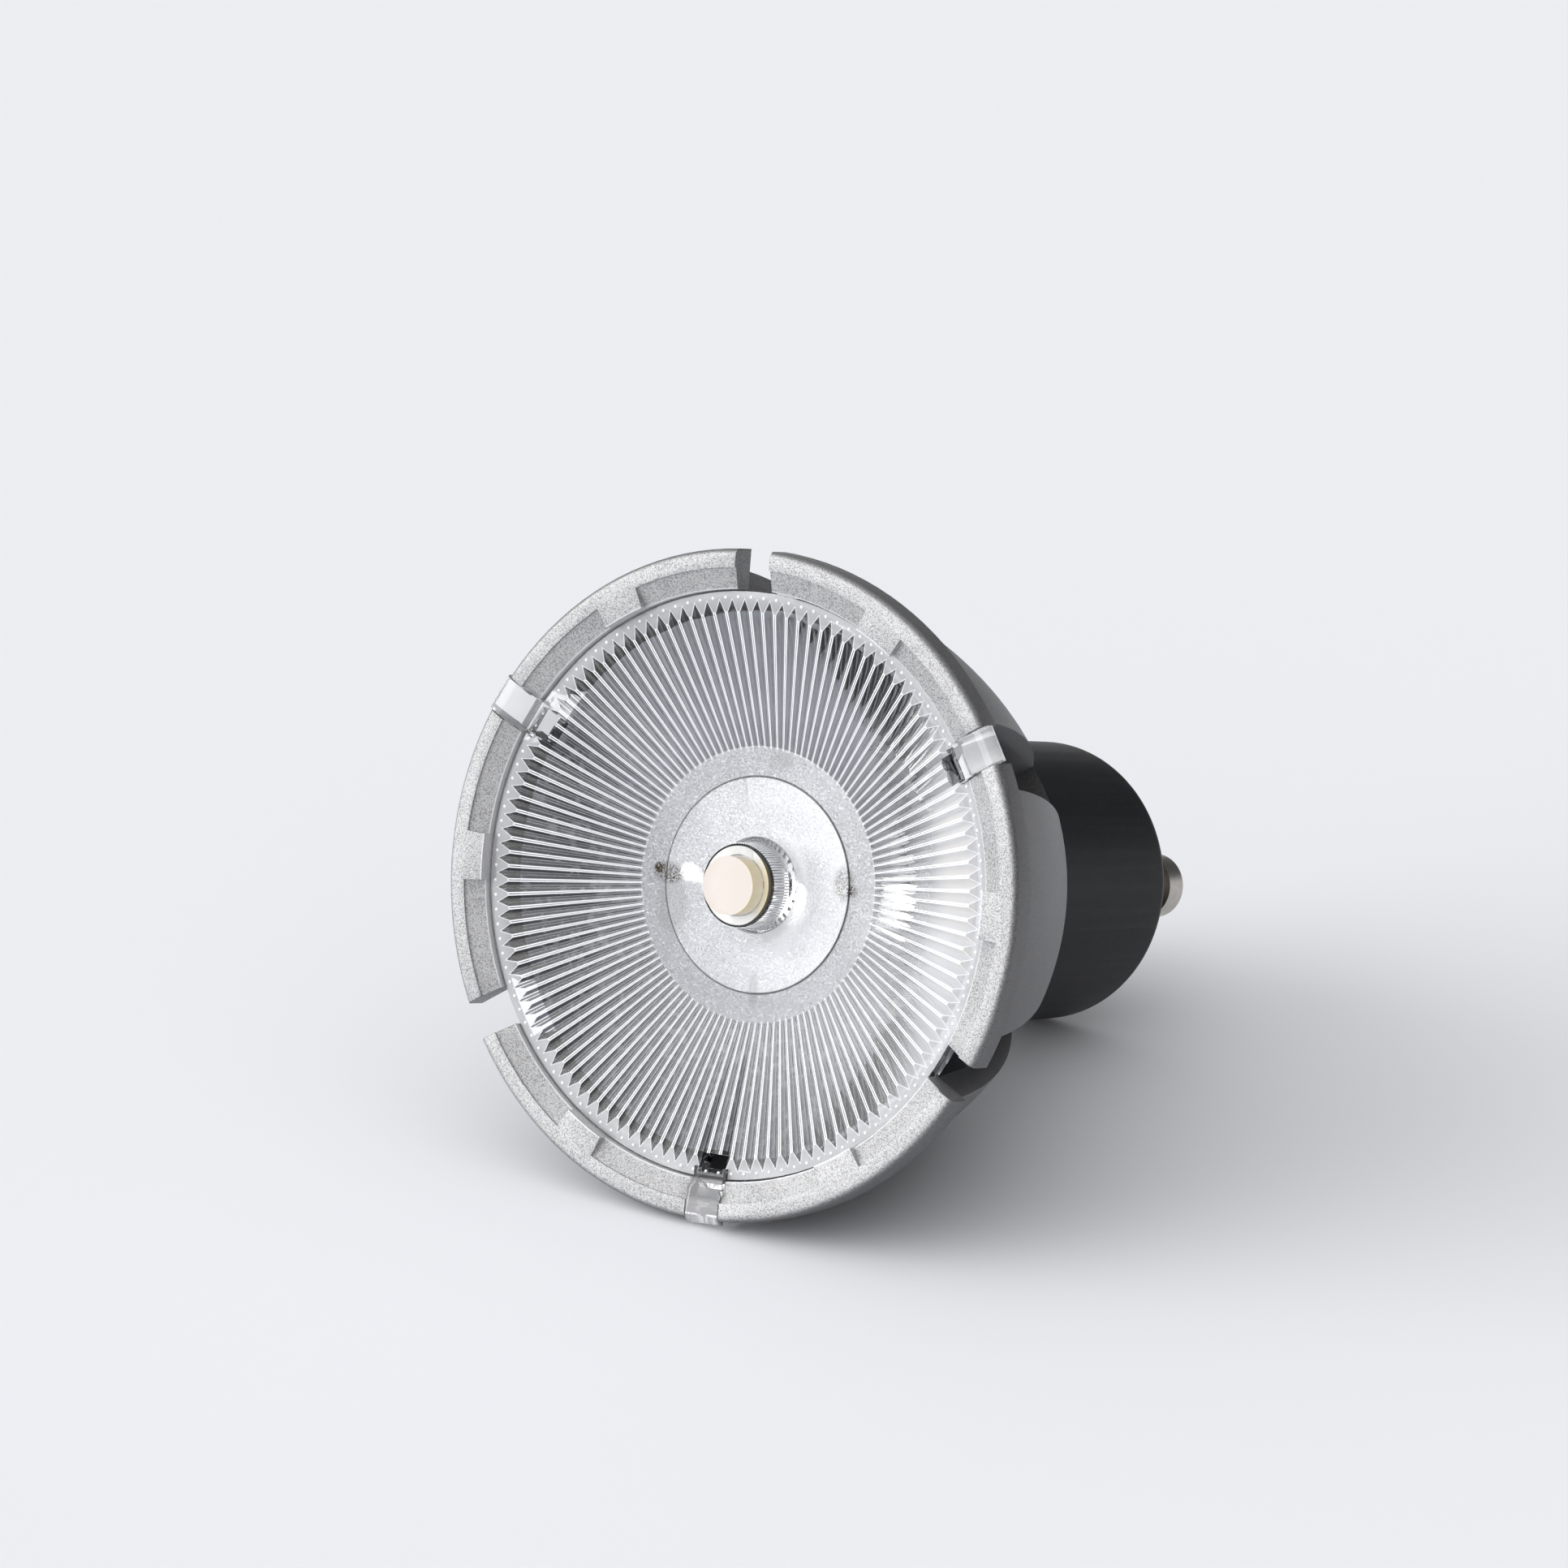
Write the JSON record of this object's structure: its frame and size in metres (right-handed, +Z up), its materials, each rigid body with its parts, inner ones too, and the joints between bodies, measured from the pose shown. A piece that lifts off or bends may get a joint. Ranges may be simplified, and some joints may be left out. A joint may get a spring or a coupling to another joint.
{
  "type": "gu10 spotlight bulb",
  "caption": "Reflector spotlight bulb with a slotted cast heat sink, a clear ribbed lens held by snap clips, and a dark plastic base with a twist-lock two-pin cap.",
  "frame": {"origin": "centre of the bottom of the bounding box, on the floor the lamp lies on", "axes": "+Z up; the light leaves towards -Y, tilted 18 degrees up; the pins point towards +Y; the lamp is rolled 6.5 degrees about its own axis"},
  "size_m": [0.05, 0.0608, 0.0481],
  "materials": {
    "cast_aluminium": "fine sand-cast, satin silver paint",
    "clear_plastic": "polished clear moulding with prism ribs and a frosted centre",
    "anthracite_plastic": "fine matt moulding",
    "nickel_plate": "dull nickel plate on brass",
    "board_aluminium": "white solder mask on aluminium",
    "heat_pad": "soft grey silicone sheet",
    "white_plastic": "smooth white moulding",
    "zinc_steel": "zinc-plated steel",
    "tinned_wire": "tinned copper with a solder cone",
    "ceramic": "white ceramic",
    "white_silicone": "white silicone",
    "phosphor": "yellow phosphor silicone",
    "circuit_board": "green glass-fibre board",
    "capacitor_can": "sleeved aluminium can",
    "ferrite": "ferrite drum with a copper winding",
    "epoxy": "dipped epoxy",
    "black_epoxy": "moulded black epoxy",
    "resistor_paint": "glazed blue-grey coating"
  },
  "bodies": {
    "root": {"heat_sink": "cast_aluminium", "lens": "clear_plastic", "base_shell": "anthracite_plastic", "contact_pin_left": "nickel_plate", "contact_pin_right": "nickel_plate", "led_board": "board_aluminium", "thermal_pad": "heat_pad", "reflector_cup": "white_plastic", "insulating_lid": "white_plastic", "board_screw_upper": "zinc_steel", "board_screw_lower": "zinc_steel", "led_lead_left": "tinned_wire", "led_lead_right": "tinned_wire", "input_lead_left": "tinned_wire", "input_lead_right": "tinned_wire", "led_base": "ceramic", "led_dam": "white_silicone", "led_phosphor": "phosphor", "driver_board": "circuit_board", "electrolytic_capacitor": "capacitor_can", "inductor": "ferrite", "film_capacitor": "epoxy", "bridge_rectifier": "black_epoxy", "driver_chip": "black_epoxy", "fuse_resistor": "resistor_paint"}
  },
  "joints": []
}
